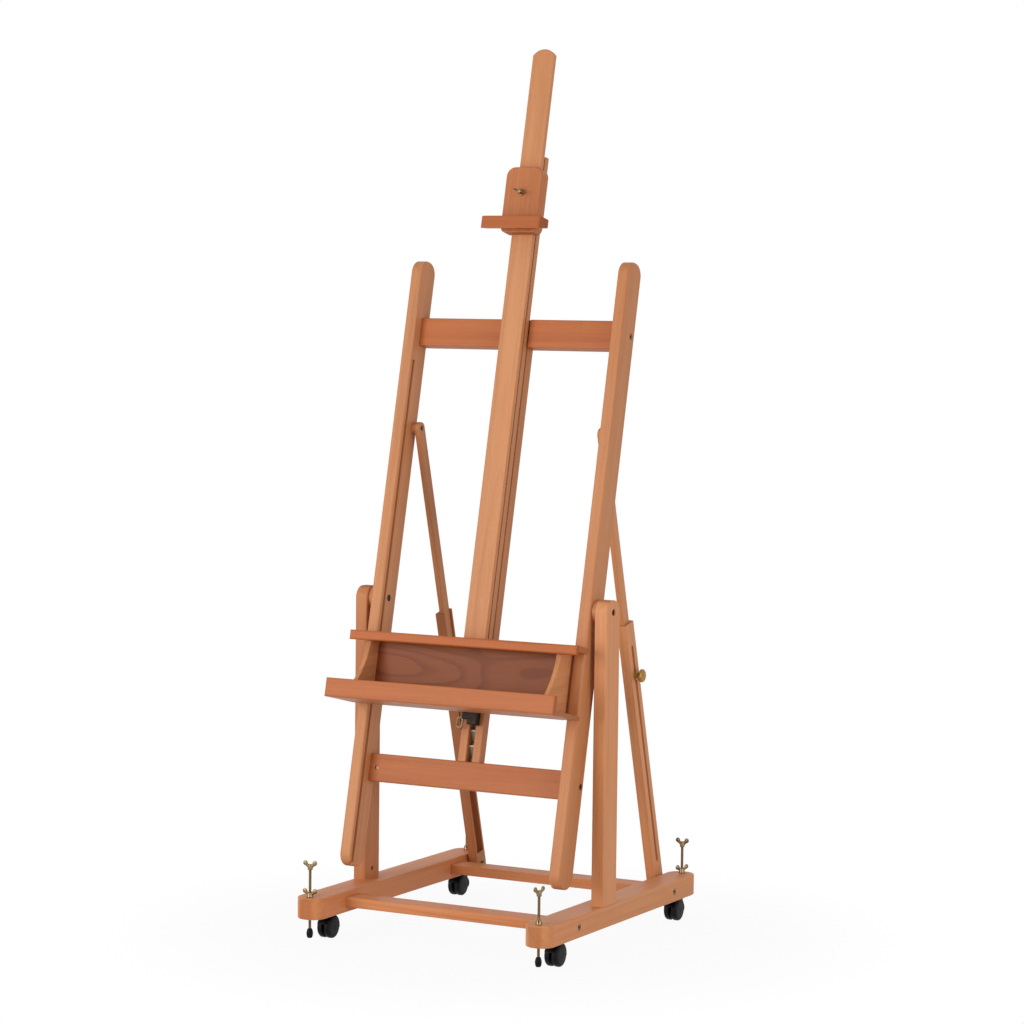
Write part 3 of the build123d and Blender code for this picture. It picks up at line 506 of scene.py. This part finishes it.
def threaded(name, radius, low, high, pitch):
    """A threaded rod along Z, in millimetres: one turn's flank, carried up by a Screw modifier."""
    bpy.ops.object.select_all(action="DESELECT")
    bpy.ops.mesh.primitive_plane_add(size=MM, enter_editmode=True)
    bpy.ops.mesh.merge(type="CENTER")
    bpy.ops.transform.translate(value=((radius - THREAD_DEPTH) * MM, 0, low * MM))
    for out, rise in FLANK:
        step = (out * MM, 0, rise * pitch * MM)
        bpy.ops.mesh.extrude_vertices_move(TRANSFORM_OT_translate={"value": step})
    bpy.ops.object.mode_set(mode="OBJECT")
    rod = bpy.context.object
    rod.name = name
    shaped(rod, "SCREW", angle=math.tau, screw_offset=pitch * MM, iterations=int((high - low) / pitch),
           steps=20, render_steps=20)
    bpy.ops.object.mode_set(mode="EDIT")
    bpy.ops.mesh.select_all(action="SELECT")
    bpy.ops.mesh.remove_doubles(threshold=0.001 * MM)
    bpy.ops.mesh.fill_holes(sides=0)
    bpy.ops.mesh.normals_make_consistent(inside=False)
    bpy.ops.object.mode_set(mode="OBJECT")
    return rod


# Every board: its grain's direction, where the tree's heart lies from its middle in metres, then its tint,
# redness, figure of growth rings and figure of flames. The tint is partly the board's own tone and partly
# painted light and shade: boards that stand in shadow are darkened, boards that catch more light are
# lightened
BOARDS = {
    "base_rail_left": (DEEP, (0.090, 0, -0.030), 1.12, 0.45, 0.20, 0.0),
    "base_rail_right": (DEEP, (-0.070, 0, -0.050), 1.10, 0.10, 0.20, 0.0),
    "base_crossbar_front": (ACROSS, (0, 0.040, -0.055), 1.12, 0.40, 0.22, 0.0),
    "base_crossbar_rear": (ACROSS, (0, -0.050, -0.050), 1.04, 0.50, 0.20, 0.0),
    "post_left": (UPRIGHT, (0.030, 0.090, 0), 0.91, 0.30, 0.20, 0.0),
    "post_right": (UPRIGHT, (-0.050, 0.060, 0), 1.14, 0.0, 0.22, 0.0),
    "pivot_spacers": (ACROSS, (0, 0.040, 0.020), 1.00, 0.10, 0.20, 0.0),
    "frame_rail_left": (ALONG_MAST, (0.020, 0.100, 0), 0.97, 0.0, 0.20, 0.0),
    "frame_rail_right": (ALONG_MAST, (-0.040, 0.080, 0), 0.93, 0.20, 0.20, 0.0),
    "frame_crossbar_top": (ACROSS, (0, 0.070, 0.020), 0.90, 1.0, 0.16, 0.0),
    "frame_crossbar_bottom": (ACROSS, (0, 0.060, -0.030), 0.87, 0.90, 0.20, 0.0),
    "guide_leg_left": (ALONG_MAST, (0.060, 0.050, 0), 0.97, 0.20, 0.18, 0.0),
    "guide_leg_right": (ALONG_MAST, (-0.050, 0.070, 0), 0.94, 0.20, 0.18, 0.0),
    "tray_ledge": (ACROSS, (0, 0.040, 0.060), 0.92, 1.15, 0.16, 0.0),
    "tray_shelf": (ACROSS, (0, 0.030, -0.070), 0.96, 0.60, 0.20, 0.0),
    # Painted shade: the tray's back is darkened to about half, for the shadow under the ledge and between
    # the cheeks
    "tray_back": (ACROSS, (0, 0.034, 0.012), 0.52, 1.12, 0.20, 0.44),
    "tray_floor": (ACROSS, (0, 0.020, -0.060), 0.94, 0.30, 0.24, 0.20),
    "tray_lip": (ACROSS, (0, 0.060, -0.040), 0.92, 0.92, 0.18, 0.0),
    "tray_cheek_left": (DEEP, (0.050, 0, -0.030), 1.00, 0.10, 0.24, 0.0),
    "tray_cheek_right": (DEEP, (-0.060, 0, -0.020), 1.05, 0.0, 0.24, 0.0),
    "tray_runners": (ALONG_MAST, (0.060, 0.040, 0), 0.90, 0.20, 0.18, 0.0),
    "mast_channel": (ALONG_MAST, (0.050, 0.060, 0), 0.92, 0.10, 0.20, 0.0),
    "mast_slat": (ALONG_MAST, (0.012, 0.070, 0), 1.01, 0.0, 0.24, 0.0),
    "holder_block": (ALONG_MAST, (0.020, 0.060, 0), 0.90, 0.66, 0.24, 0.0),
    "holder_jaw": (ACROSS, (0, 0.050, -0.030), 0.81, 1.12, 0.20, 0.0),
    # Painted shade: the lower left strut is darkened because it stands in shadow
    "strut_lower_left": (ALONG_STRUT, (0.050, 0.050, 0), 0.76, 0.45, 0.20, 0.0),
    "strut_lower_right": (ALONG_STRUT, (-0.060, 0.040, 0), 1.10, 0.0, 0.20, 0.0),
    "strut_upper_left": (ALONG_STRUT, (0.040, -0.050, 0), 0.97, 0.10, 0.20, 0.0),
    "strut_upper_right": (ALONG_STRUT, (-0.045, -0.050, 0), 1.02, 0.05, 0.20, 0.0),
}

# Hardware kept as it comes from the CAD model
IRONWORK = {
    "base_fasteners": "zinc", "frame_fasteners": "zinc", "strut_foot_bolts": "zinc",
    "strut_bolts_left": "bronze", "strut_bolts_right": "bronze", "ratchet_pawl": "bronze",
    "caster_stems": "steel", "ratchet_rack": "steel", "holder_keeper": "steel",
    "pivot_hardware": "black steel", "ratchet_housing": "black steel",
}

# How far each wing head and wing nut is turned about its screw
HEAD_TURN = {"front_left": 0.15, "front_right": 1.25, "rear_left": 2.07, "rear_right": 0.0}
NUT_TURN = {"front_left": 0.1, "front_right": 2.0, "rear_left": 2.07, "rear_right": 1.05}

# Profiles for the lathe: radius and height in millimetres
HEAD_HUB = [(3.0, -2), (4.6, -2), (5.3, -1.2), (5.3, 2), (4.9, 7), (4.2, 9.4), (3.0, 10.2)]
NUT_HUB = [(5.8, -1.5), (6.6, -1.5), (6.9, -0.8), (6.6, 0.6), (5.6, 5), (5.1, 7.6), (4.2, 8.6)]
COLLAR = [(6.2, 0), (6.8, 0.4), (6.8, 2.0), (6.3, 2.5), (5.0, 2.6)]
FOOT = [(3.6, 0), (4.4, 0.2), (5.4, 1.6), (6.2, 3.8), (6.8, 7), (6.95, 9.8), (6.6, 13), (5.8, 16.2),
        (4.8, 18.6), (4.0, 19.8), (3.2, 20.0)]
KNOB = [(8.4, 0), (9.0, 0.4), (9.0, 1.8), (8.6, 2.2), (6.3, 2.2), (5.9, 3.4), (5.8, 5.2), (7.0, 5.7),
        (7.4, 6.6), (7.0, 7.5), (6.2, 8.0), (7.4, 9.2), (10.6, 10.8), (13.0, 12.2), (14.0, 13.4),
        (14.0, 16.4), (13.4, 17.5), (11.8, 18.8), (9.8, 19.7), (4.0, 20.7), (0.4, 21.0)]
WHEEL = [(3.2, 0), (20.6, 0), (22.6, 0.5), (23.3, 1.3), (23.5, 2.4), (23.5, 8.2), (23.2, 9.4), (22.2, 10.7),
         (20.8, 11.4), (19.4, 11.8), (18.8, 11.3), (18.0, 11.3), (17.4, 11.9), (12.0, 12.3), (6.4, 12.5),
         (5.9, 12.1), (4.0, 12.1), (0.4, 12.2)]
HOOD = [(24.5, -13.0), (25.1, -12.6), (25.4, -11.4), (25.5, -6), (25.5, 0), (25.5, 6), (25.4, 11.4),
        (25.1, 12.6), (24.5, 13.0)]
NECK = [(9.6, -4.0), (10.0, -3.6), (10.0, -0.6), (9.5, 0), (3.4, 0)]
HOOD_HUB = [(8.2, -2.2), (8.6, -1.9), (8.6, 1.9), (8.2, 2.2)]

# A wing's limb: where it leaves the hub in millimetres, its radius by share of its length, its flatness
WING_ROOT = (1.5, 0, 2.6)
LIMB = ((3.0, 0.0), (3.4, 0.4), (4.3, 1.0))
LIMB_FLATNESS = 0.42
SKIN_GRID = 0.40
# A thread's depth in millimetres, and its flank: steps outwards in millimetres and up by share of the pitch
THREAD_DEPTH = 0.42
FLANK = ((THREAD_DEPTH, 0.36), (0.0, 0.22), (-THREAD_DEPTH, 0.36), (0.0, 0.06))
# Heights of the wing nuts over the rail and of the holder's collar and wings over its block, in millimetres
NUT_SEAT = 1.5
COLLAR_SEAT = 0.3
CLAMP_SEAT = 4.2
CLAMP_TURN = -0.35
# Columns of faces round a knob, every other one pressed in, and the scale that presses them
KNURLS = 72
KNURL_SCALE = 0.955
# The caster's hood in millimetres: its lower edge and that edge's slope, its wall, how far its neck stands
# over the swivel, and its web, which leans by a share of the swivel's offset
HOOD_EDGE = 2.0
HOOD_SLOPE = (0, 0.25, 1)
HOOD_WALL = 1.1
NECK_RISE = 0.2
WEB_THICKNESS = 4.4
WEB_WIDTH = 17.0
WEB_GAP = 2.6
WEB_DROP = 1.4
WEB_LEAN = 0.45


class EASEL_OT_woodwork(bpy.types.Operator):
    """Gives every board its own piece of oiled beech"""

    bl_idname = "easel.woodwork"
    bl_label = "Woodwork"

    def execute(self, context):
        for seed, (node, (along, heart, *look)) in enumerate(BOARDS.items()):
            wear(node, beech(f"Beech {node}", along, middle(node) + Vector(heart), *look, seed))
        return {"FINISHED"}


class EASEL_OT_ironwork(bpy.types.Operator):
    """Plates the bolts, the rack and the ratchet"""

    bl_idname = "easel.ironwork"
    bl_label = "Ironwork"

    def execute(self, context):
        look = finish()
        finishes = {
            "zinc": metal("Yellow zinc", tuple(look.zinc), 0.25),
            "bronze": metal("Dark bronze", tuple(look.bronze), 0.36),
            "steel": metal("Dull zinc", tuple(look.steel), 0.40, ALONG_MAST),
            "black steel": metal("Blackened steel", tuple(look.blackened), 0.42),
        }
        for node, name in IRONWORK.items():
            wear(node, finishes[name])
        return {"FINISHED"}


class EASEL_OT_wing_screws(bpy.types.Operator):
    """Makes the levelling screws, their rubber feet and wing nuts, and the holder's wing screw"""

    bl_idname = "easel.wing_screws"
    bl_label = "Wing screws"

    def execute(self, context):
        sizes = context.scene.easel_hardware
        zinc = bpy.data.materials["Yellow zinc"]
        rubber = moulded("Foot rubber", tuple(finish().black), 0.48, 500.0, 0.00010)
        head = cast_wings("wing_head", HEAD_HUB, sizes.head_reach, sizes.head_lift)
        nut = cast_wings("wing_nut", NUT_HUB, sizes.nut_reach, sizes.nut_lift)
        foot = turned("rubber_foot", FOOT)
        low, high = (end[2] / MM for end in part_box("levelling_screw_front_left"))
        base = high - sizes.head_lift - sizes.wing_tip
        rod = threaded("threaded_rod", sizes.thread, low, base, sizes.pitch)
        rail_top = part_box("base_rail_left")[1][2]
        nuts = []
        for corner in CORNERS:
            axis = middle(f"levelling_screw_{corner}") * Vector((1, 1, 0))
            top = seated(copied(head, "head"), UPRIGHT * base * MM, UPRIGHT, HEAD_TURN[corner])
            screw = seated(joined(f"wing_screw_{corner}", [copied(rod, "rod"), top]), axis)
            dressed(screw, zinc, "zinc", f"leveller_{corner}", f"levelling_screw_{corner}")
            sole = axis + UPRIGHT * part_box(f"levelling_foot_{corner}")[0][2]
            pad = seated(copied(foot, f"rubber_foot_{corner}"), sole)
            dressed(pad, rubber, "rubber", f"leveller_{corner}", f"levelling_foot_{corner}", angle=50)
            seat = axis + UPRIGHT * (rail_top + NUT_SEAT * MM)
            nuts.append(seated(copied(nut, "nut"), seat, UPRIGHT, NUT_TURN[corner]))
        dressed(joined("wing_nuts", nuts), zinc, "zinc", "base", "levelling_nuts")

        clamp = JOINTS["holder_screw_turn"]
        forward = Vector(clamp["axis"]).normalized()
        place = Vector(clamp["pos_m"])
        collar = seated(turned("collar", COLLAR), place + forward * COLLAR_SEAT * MM, forward)
        wings = seated(copied(head, "wings"), place + forward * CLAMP_SEAT * MM, forward, CLAMP_TURN)
        screw = joined("holder_clamp_screw", [collar, wings])
        dressed(screw, zinc, "zinc", "holder_screw", "holder_wing_screw")
        for pattern in (head, nut, foot, rod):
            bpy.data.objects.remove(pattern)
        return {"FINISHED"}


class EASEL_OT_knobs(bpy.types.Operator):
    """Turns the brass clamp knobs of the struts and knurls their rims"""

    bl_idname = "easel.knobs"
    bl_label = "Clamp knobs"

    def execute(self, context):
        brass = metal("Turned brass", tuple(finish().brass), 0.28)
        pattern = turned("clamp_knob", KNOB, KNURLS)
        self.knurl(pattern)
        for name, way in (("left", -1), ("right", 1)):
            node = f"strut_knob_{name}"
            low, high = (Vector(end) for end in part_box(node))
            place = middle(node)
            place.x = low.x if way > 0 else high.x
            knob = seated(copied(pattern, f"clamp_knob_{name}"), place, ACROSS * way)
            dressed(knob, brass, "brass", node, node, angle=28)
        bpy.data.objects.remove(pattern)
        return {"FINISHED"}

    def knurl(self, knob):
        """Presses every other column of the rim inwards."""
        rim = max(radius for radius, height in KNOB) * MM
        lone(knob)
        bpy.ops.object.mode_set(mode="EDIT")
        bpy.ops.mesh.select_mode(type="VERT")
        bpy.ops.mesh.select_all(action="DESELECT")
        bpy.ops.object.mode_set(mode="OBJECT")
        for vertex in knob.data.vertices:
            column = round(math.atan2(vertex.co.y, vertex.co.x) / math.tau * KNURLS)
            vertex.select = vertex.co.xy.length > rim - 0.01 * MM and column % 2 == 0
        bpy.ops.object.mode_set(mode="EDIT")
        bpy.ops.transform.resize(value=(KNURL_SCALE, KNURL_SCALE, 1), center_override=(0, 0, 0))
        bpy.ops.object.mode_set(mode="OBJECT")


class EASEL_OT_casters(bpy.types.Operator):
    """Makes the casters: domed twin wheels under a hood"""

    bl_idname = "easel.casters"
    bl_label = "Casters"

    def execute(self, context):
        plastic = moulded("Caster plastic", tuple(finish().black), 0.40)
        tread = moulded("Caster tread", tuple(finish().black), 0.42, 700.0, 0.00008)
        swivel = Vector(JOINTS["swivel_front_left"]["pos_m"]) - middle("caster_wheels_front_left")
        cover = self.hood(swivel + UPRIGHT * NECK_RISE * MM)
        disc = turned("wheel", WHEEL, 64)
        for corner in CORNERS:
            wheels = f"caster_wheels_{corner}"
            axle = middle(wheels)
            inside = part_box(wheels)[1][0] - axle.x - max(height for radius, height in WHEEL) * MM
            sides = (-ACROSS, ACROSS)
            pair = [seated(copied(disc, "disc"), axle + side * inside, side) for side in sides]
            twins = joined(f"twin_wheels_{corner}", pair)
            dressed(twins, tread, "black_plastic", f"wheels_{corner}", wheels, angle=35)
            hood = seated(copied(cover, f"hood_{corner}"), axle)
            dressed(hood, plastic, "black_plastic", f"caster_{corner}", f"caster_hood_{corner}", angle=35)
        for pattern in (cover, disc):
            bpy.data.objects.remove(pattern)
        return {"FINISHED"}

    def hood(self, top):
        """A shell over the wheels, a web between them and a neck on the stem, made round the axle."""
        shell = seated(turned("hood", HOOD, 72, closed=False), Vector(), ACROSS)
        bpy.ops.object.mode_set(mode="EDIT")
        bpy.ops.mesh.select_all(action="SELECT")
        bpy.ops.mesh.bisect(plane_co=(0, 0, HOOD_EDGE * MM), plane_no=HOOD_SLOPE, clear_inner=True)
        bpy.ops.object.mode_set(mode="OBJECT")
        shaped(shell, "SOLIDIFY", thickness=HOOD_WALL * MM, offset=-1)
        neck = seated(turned("neck", NECK), top)
        hub = seated(turned("hub", HOOD_HUB), Vector(), ACROSS)
        bpy.ops.object.select_all(action="DESELECT")
        bpy.ops.mesh.primitive_cube_add(size=1, location=top / 2 - UPRIGHT * WEB_DROP * MM)
        web = bpy.context.object
        web.scale = (WEB_THICKNESS * MM, WEB_WIDTH * MM, top.z - WEB_GAP * MM)
        bpy.ops.object.transform_apply(location=True, rotation=True, scale=True)
        bpy.ops.object.mode_set(mode="EDIT")
        bpy.ops.mesh.select_mode(type="VERT")
        bpy.ops.mesh.select_all(action="DESELECT")
        bpy.ops.object.mode_set(mode="OBJECT")
        for vertex in web.data.vertices:
            vertex.select = vertex.co.z < top.z / 2
        bpy.ops.object.mode_set(mode="EDIT")
        bpy.ops.transform.translate(value=(0, -top.y * WEB_LEAN, 0))
        bpy.ops.object.mode_set(mode="OBJECT")
        return joined("hood", [shell, neck, hub, web])


class EASEL_OT_stage(bpy.types.Operator):
    """Sets the floor, the lamps and the camera"""

    bl_idname = "easel.stage"
    bl_label = "Stage"

    def execute(self, context):
        stage = context.scene.easel_stage
        context.scene.view_settings.view_transform = "Standard"
        self.floor(stage)
        self.sky(context, stage)
        self.lamps(stage)
        self.camera(context, stage)
        return {"FINISHED"}

    def floor(self, stage):
        """A floor that keeps the shadow near the easel and runs out to plain white."""
        bpy.ops.object.select_all(action="DESELECT")
        bpy.ops.mesh.primitive_plane_add(size=FLOOR_SIZE, location=(0, 0, 0))
        plane = bpy.context.object
        plane.name = "floor"
        shade = Shade(bpy.data.materials.new("White floor"))
        away = shade.add("ShaderNodeVectorMath", {"operation": "LENGTH"}, {0: shade.place()}, out="Value")
        paint = shade.add("ShaderNodeBsdfDiffuse", None, {"Color": tuple(stage.floor)})
        glow = shade.add("ShaderNodeEmission", None, {"Color": (1, 1, 1), "Strength": 1.0})
        white = shade.seen() * (FLOOR_WHITE + away.between(0.45, 0.95) * (1 - FLOOR_WHITE))
        shade.add("ShaderNodeOutputMaterial", None, {"Surface": shade.blend(white, paint, glow)})
        plane.data.materials.append(shade.owner)

    def sky(self, context, stage):
        context.scene.world = bpy.data.worlds.new("Studio")
        shade = Shade(context.scene.world)
        even = shade.add("ShaderNodeBackground", None, {"Color": (1, 1, 1), "Strength": stage.sky})
        white = shade.add("ShaderNodeBackground", None, {"Color": (1, 1, 1), "Strength": 1.0})
        shade.add("ShaderNodeOutputWorld", None, {"Surface": shade.blend(shade.seen(), even, white)})

    def lamps(self, stage):
        for name, place, aim, size, power in LAMPS:
            bpy.ops.object.select_all(action="DESELECT")
            bpy.ops.object.light_add(type="AREA", location=place)
            lamp = bpy.context.object
            lamp.name = name
            lamp.data.size = size
            lamp.data.energy = getattr(stage, power)
            lamp.rotation_euler = (Vector(aim) - Vector(place)).to_track_quat("-Z", "Y").to_euler()

    def camera(self, context, stage):
        azimuth, pitch, roll = stage.camera_turn
        right = Vector((math.cos(azimuth), math.sin(azimuth), 0))
        level = Vector((-math.sin(azimuth), math.cos(azimuth), 0))
        ahead = level * math.cos(pitch) - UPRIGHT * math.sin(pitch)
        up = right.cross(ahead)
        level_right = right * math.cos(roll) + up * math.sin(roll)
        level_up = up * math.cos(roll) - right * math.sin(roll)
        bpy.ops.object.select_all(action="DESELECT")
        bpy.ops.object.camera_add()
        camera = bpy.context.object
        turn = Matrix((level_right, level_up, ahead * -1)).transposed().to_4x4()
        camera.matrix_world = Matrix.Translation(Vector(stage.camera_place)) @ turn
        camera.data.sensor_fit = "HORIZONTAL"
        camera.data.sensor_width = SENSOR
        camera.data.lens = stage.lens
        camera.data.clip_end = 100
        context.scene.camera = camera


OPERATORS = (EASEL_OT_woodwork, EASEL_OT_ironwork, EASEL_OT_wing_screws, EASEL_OT_knobs, EASEL_OT_casters,
             EASEL_OT_stage)


class EASEL_PT_panel(bpy.types.Panel):
    """Finishes and steps of the easel"""

    bl_idname = "EASEL_PT_panel"
    bl_label = "Easel"
    bl_space_type = "VIEW_3D"
    bl_region_type = "UI"
    bl_category = "Easel"

    def draw(self, context):
        scene = context.scene
        for group in (scene.easel_finish, scene.easel_hardware, scene.easel_stage):
            for name in group.bl_rna.properties.keys():
                if name not in {"rna_type", "name"}:
                    self.layout.prop(group, name)
        for operator in OPERATORS:
            self.layout.operator(operator.bl_idname)


CLASSES = (EaselFinish, EaselHardware, EaselStage, *OPERATORS, EASEL_PT_panel)


def register():
    for item in CLASSES:
        bpy.utils.register_class(item)
    bpy.types.Scene.easel_finish = bpy.props.PointerProperty(type=EaselFinish)
    bpy.types.Scene.easel_hardware = bpy.props.PointerProperty(type=EaselHardware)
    bpy.types.Scene.easel_stage = bpy.props.PointerProperty(type=EaselStage)


def unregister():
    del bpy.types.Scene.easel_stage
    del bpy.types.Scene.easel_hardware
    del bpy.types.Scene.easel_finish
    for item in reversed(CLASSES):
        bpy.utils.unregister_class(item)


def main():
    register()
    bpy.ops.easel.woodwork()
    bpy.ops.easel.ironwork()
    bpy.ops.easel.wing_screws()
    bpy.ops.easel.knobs()
    bpy.ops.easel.casters()
    bpy.ops.easel.stage()


if __name__ == "__main__":
    main()
